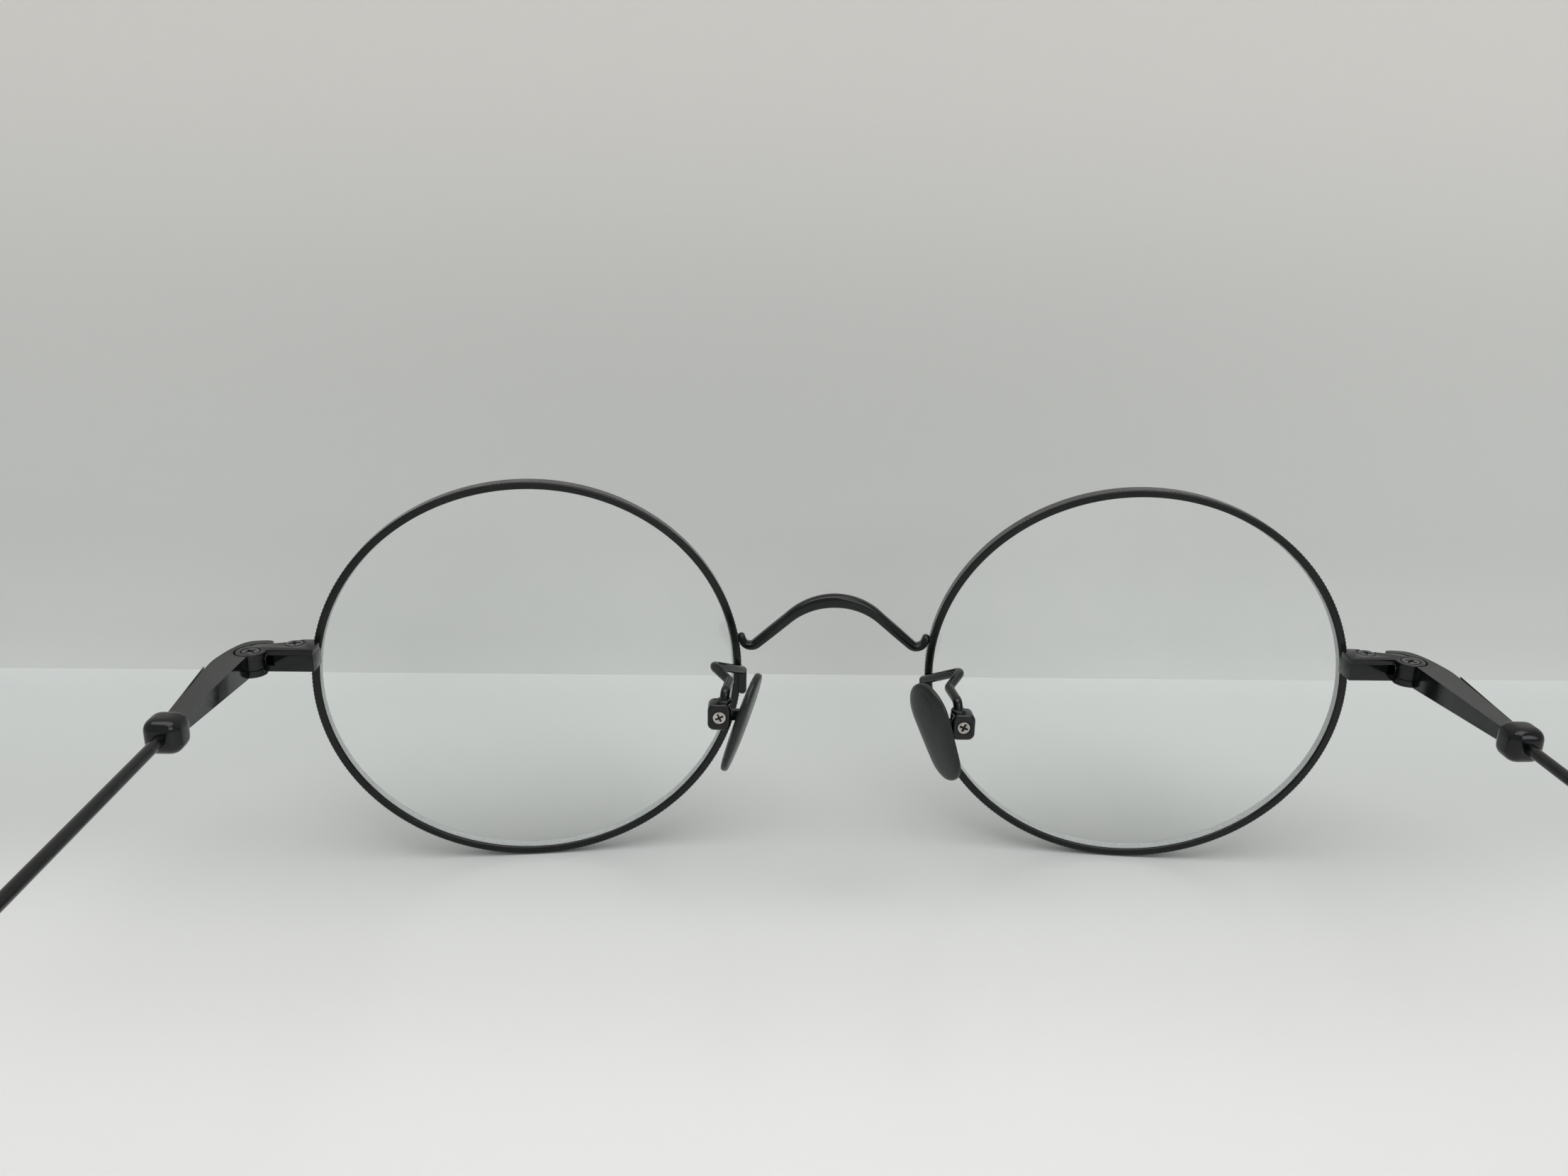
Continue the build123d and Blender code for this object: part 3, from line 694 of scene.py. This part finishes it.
def make_pad_arm(side):
    """Gooseneck wire with a rounded foot down the rim and a turned flange on its box."""
    foot = from_front(FOOT_OUT, FOOT_BACK, FOOT_ABOVE + FOOT_RISE[side])
    entry_out = PAD_SCREW_OUT - ENTRY_INSIDE_SCREW
    entry_above = PAD_SCREW_ABOVE + PAD_RISE[side] + BOX_HEIGHT / 2
    entry = from_front(entry_out, PAD_SCREW_BACK, entry_above)
    route = rounded_route(
        [
            foot,
            from_front(OUTER_BEND_OUT, OUTER_BEND_BACK, OUTER_BEND_ABOVE + PAD_RISE[side] / 2),
            from_front(KNEE_OUT, KNEE_BACK, KNEE_ABOVE[side]),
            from_front(entry_out - LAST_BEND_INSIDE, PAD_SCREW_BACK - LAST_BEND_AHEAD,
                       LAST_BEND_ABOVE + PAD_RISE[side]),
            entry,
        ],
        BEND_RADII,
        steps=9,
    )
    points, sizes = with_round_ends(route, [(PAD_WIRE, PAD_WIRE)] * len(route), end=False)
    wire = smooth(swept(points, sizes, sides=20), 60)
    strip = [foot + Vector((0, 0, STRIP_LAP)), foot - Vector((0, 0, FOOT_HEIGHT))]
    points, sizes = with_round_ends(strip, [(PAD_WIRE, PAD_WIRE)] * 2, start=False)
    strip_piece = smooth(swept(points, sizes, sides=20), 60)
    flange = swept(
        [entry + Vector((0, 0, far * MM)) for far, radius in FLANGE_STATIONS],
        [(radius * MM, radius * MM) for far, radius in FLANGE_STATIONS],
        sides=28,
    )
    return joined([wire, strip_piece, smooth(flange, 35)])


# ---------------------------------------------------------------- nose pads
PAD_UP = Vector((-0.333, -0.24, 0.913)).normalized()
PAD_OUT = {"left": 10.45, "right": 10.05}
PAD_BACK = {"left": 9.7, "right": 10.1}
PAD_BELOW = {"left": 1.5, "right": 1.34}
PAD_FACE_TURN = {"left": math.radians(7.0), "right": math.radians(24.0)}
PAD_LENGTH = 10.9 * MM
PAD_TOP_RADIUS = 3.35 * MM
PAD_BOTTOM_RADIUS = 2.65 * MM
PAD_HALF_THICKNESS = 0.64 * MM
PAD_STATIONS = 36
PAD_END_SHORTENING = 0.9985
PAD_EDGE_SHARE = 0.45
PAD_NARROW_HALF = 1.1 * MM
PAD_NARROW_POWER = 0.6
PAD_SQUARENESS = 0.8


def pad_half_width(along):
    """Half width of the leaf outline at a distance from its middle, along its length."""
    top = PAD_LENGTH / 2 - PAD_TOP_RADIUS
    bottom = PAD_BOTTOM_RADIUS - PAD_LENGTH / 2
    slope = (PAD_TOP_RADIUS - PAD_BOTTOM_RADIUS) / (top - bottom)
    lift = math.sqrt(1 - slope * slope)
    if along > top - slope * PAD_TOP_RADIUS:
        return math.sqrt(max(PAD_TOP_RADIUS**2 - (along - top) ** 2, 0))
    if along < bottom - slope * PAD_BOTTOM_RADIUS:
        return math.sqrt(max(PAD_BOTTOM_RADIUS**2 - (along - bottom) ** 2, 0))
    return (PAD_BOTTOM_RADIUS + (along - bottom) * slope) / lift


def make_pad(side):
    """A leaf of moulded plastic, crowned on both faces and thinning to a rounded edge."""
    turn = PAD_FACE_TURN[side]
    across = PAD_UP.cross(Vector((-math.cos(turn), math.sin(turn), 0))).normalized()
    centre = from_front(PAD_OUT[side], PAD_BACK[side], PAD_RISE[side] - PAD_BELOW[side])
    points, sizes = [], []
    for station in range(PAD_STATIONS + 1):
        swing = math.pi * station / PAD_STATIONS
        along = -math.cos(swing) * PAD_LENGTH / 2 * PAD_END_SHORTENING
        wide = pad_half_width(along)
        crown = PAD_EDGE_SHARE + (1 - PAD_EDGE_SHARE) * math.sin(swing)
        thick = PAD_HALF_THICKNESS * crown * min(1, (wide / PAD_NARROW_HALF) ** PAD_NARROW_POWER)
        points.append(centre + PAD_UP * along)
        sizes.append((wide, thick))
    leaf = swept(points, sizes, flat=PAD_UP.cross(across), sides=40, squareness=PAD_SQUARENESS)
    return smooth(leaf, 70)


for side, sign in SIDES:
    arm = mirror_across_nose(make_pad_arm(side), sign)
    fit(arm, "pad_arm_" + side + "_gooseneck", "front", "black_frame", BLACK, "pad_arm_" + side)
    leaf = mirror_across_nose(make_pad(side), sign)
    fit(leaf, "pad_" + side + "_leaf", "nose_pad_" + side, "nose_pad", PAD_GREY, "pad_" + side)

# ---------------------------------------------------------------- stage
STAGE_WIDTH = 3.0
FLOOR_BELOW = -0.00005
WALL_AT = -0.1197
# Spans over which the floor and the wall get their painted light and shade.
FLOOR_PAINTED_LIGHT_SPAN = (-0.12, 0.08)
WALL_PAINTED_LIGHT_SPAN = (0.0, 0.15)
FLOOR_ROUGHNESS = 0.3
WALL_ROUGHNESS = 0.8


def painted_light_stage(name, painted_light_tones, painted_light_span, axis, rough):
    """Plain matt board with painted light: its tone drifts gently from one end to the other, standing in for
    how light and shade fall over the stage.
    """
    start, end = painted_light_span
    material, nodes, links, shader = new_material(name)
    coordinates = nodes.new("ShaderNodeTexCoord")
    split = nodes.new("ShaderNodeSeparateXYZ")
    links.new(coordinates.outputs["Object"], split.inputs["Vector"])
    painted_light_drift = nodes.new("ShaderNodeMapRange")
    painted_light_drift.inputs["From Min"].default_value = start
    painted_light_drift.inputs["From Max"].default_value = end
    links.new(split.outputs[axis], painted_light_drift.inputs["Value"])
    ramp = nodes.new("ShaderNodeValToRGB")
    ramp.color_ramp.interpolation = "EASE"
    while len(ramp.color_ramp.elements) < len(painted_light_tones):
        ramp.color_ramp.elements.new(0.5)
    for element, (place, tone) in zip(ramp.color_ramp.elements, painted_light_tones):
        element.position = (place - start) / (end - start)
        element.color = (*tone, 1)
    links.new(painted_light_drift.outputs["Result"], ramp.inputs["Fac"])
    links.new(ramp.outputs["Color"], shader.inputs["Base Color"])
    shader.inputs["Roughness"].default_value = rough
    return material


# Painted light and shade along the floor, by distance from the wall: a slightly lighter stripe where it
# meets the wall, a darker band behind and under the rims as painted shadow, and a floor that brightens
# towards the camera as painted light.
FLOOR_PAINTED_LIGHT = (
    (-0.120, (0.600, 0.620, 0.612)),
    (-0.109, (0.575, 0.600, 0.592)),
    (-0.074, (0.535, 0.555, 0.548)),
    (-0.044, (0.680, 0.690, 0.682)),
    (-0.020, (0.735, 0.742, 0.735)),
    (0.080, (0.780, 0.780, 0.775)),
)
# Painted light up the wall: lighter at the floor line, darker just above it and lighter again higher up,
# standing in for how the light falls on the backdrop.
WALL_PAINTED_LIGHT = (
    (0.000, (0.680, 0.690, 0.672)),
    (0.008, (0.640, 0.650, 0.632)),
    (0.024, (0.596, 0.602, 0.584)),
    (0.050, (0.588, 0.590, 0.568)),
    (0.092, (0.650, 0.634, 0.604)),
    (0.150, (0.660, 0.642, 0.612)),
)
bpy.ops.mesh.primitive_plane_add(size=1, location=(0, WALL_AT + STAGE_WIDTH / 2, FLOOR_BELOW))
floor = bpy.context.active_object
floor.scale = (STAGE_WIDTH, STAGE_WIDTH, 1)
settle(floor)
floor.name = "floor"
floor.data.materials.append(painted_light_stage("Pale floor", FLOOR_PAINTED_LIGHT, FLOOR_PAINTED_LIGHT_SPAN, "Y", FLOOR_ROUGHNESS))
bpy.ops.mesh.primitive_plane_add(size=1, location=(0, WALL_AT, STAGE_WIDTH / 2 + FLOOR_BELOW),
                                 rotation=(math.pi / 2, 0, 0))
wall = bpy.context.active_object
wall.scale = (STAGE_WIDTH, STAGE_WIDTH, 1)
settle(wall)
wall.name = "wall"
wall.data.materials.append(painted_light_stage("Pale wall", WALL_PAINTED_LIGHT, WALL_PAINTED_LIGHT_SPAN, "Z", WALL_ROUGHNESS))


# ---------------------------------------------------------------- light and camera
def soft_light(name, place, aim, width, height, power, colour):
    """A rectangular soft box turned towards a point."""
    light = bpy.data.lights.new(name, "AREA")
    light.shape = "RECTANGLE"
    light.size = width
    light.size_y = height
    light.energy = power
    light.color = colour
    lamp = bpy.data.objects.new(name, light)
    scene.collection.objects.link(lamp)
    lamp.location = place
    lamp.rotation_euler = (Vector(aim) - Vector(place)).to_track_quat("-Z", "Y").to_euler()
    return lamp


soft_light("Overhead soft box", place=(0.05, 0.05, 0.75), aim=(0, -0.02, 0),
           width=0.9, height=0.7, power=5.0, colour=(1.0, 0.985, 0.96))
soft_light("Camera side soft box", place=(-0.35, 0.65, 0.45), aim=(0, 0, 0.02),
           width=0.5, height=0.4, power=1.6, colour=(0.97, 0.985, 1.0))

world = bpy.data.worlds.new("Soft room")
scene.world = world
world.use_nodes = True
world.node_tree.nodes["Background"].inputs["Color"].default_value = (0.93, 0.95, 0.97, 1)
world.node_tree.nodes["Background"].inputs["Strength"].default_value = 0.5

CAMERA_PLACE = Vector((0.010951, 0.069489, 0.077837))
CAMERA_PITCH = math.radians(18.574)
CAMERA_YAW = math.radians(2.135)
CAMERA_ROLL = math.radians(-1.29)
FOCAL_LENGTH = 29.913
SENSOR_WIDTH = 36.0

level_right = Vector((-math.cos(CAMERA_YAW), math.sin(CAMERA_YAW), 0))
level_down = Vector((
    math.sin(CAMERA_PITCH) * math.sin(CAMERA_YAW),
    math.sin(CAMERA_PITCH) * math.cos(CAMERA_YAW),
    -math.cos(CAMERA_PITCH),
))
ahead = Vector((
    -math.cos(CAMERA_PITCH) * math.sin(CAMERA_YAW),
    -math.cos(CAMERA_PITCH) * math.cos(CAMERA_YAW),
    -math.sin(CAMERA_PITCH),
))
right = level_right * math.cos(CAMERA_ROLL) + level_down * math.sin(CAMERA_ROLL)
down = level_down * math.cos(CAMERA_ROLL) - level_right * math.sin(CAMERA_ROLL)
lens_data = bpy.data.cameras.new("Camera")
lens_data.lens = FOCAL_LENGTH
lens_data.sensor_width = SENSOR_WIDTH
lens_data.clip_start = 0.002
camera = bpy.data.objects.new("Camera", lens_data)
scene.collection.objects.link(camera)
camera.matrix_world = Matrix((
    (right.x, -down.x, -ahead.x, CAMERA_PLACE.x),
    (right.y, -down.y, -ahead.y, CAMERA_PLACE.y),
    (right.z, -down.z, -ahead.z, CAMERA_PLACE.z),
    (0, 0, 0, 1),
))
scene.camera = camera
scene.view_settings.view_transform = "Standard"
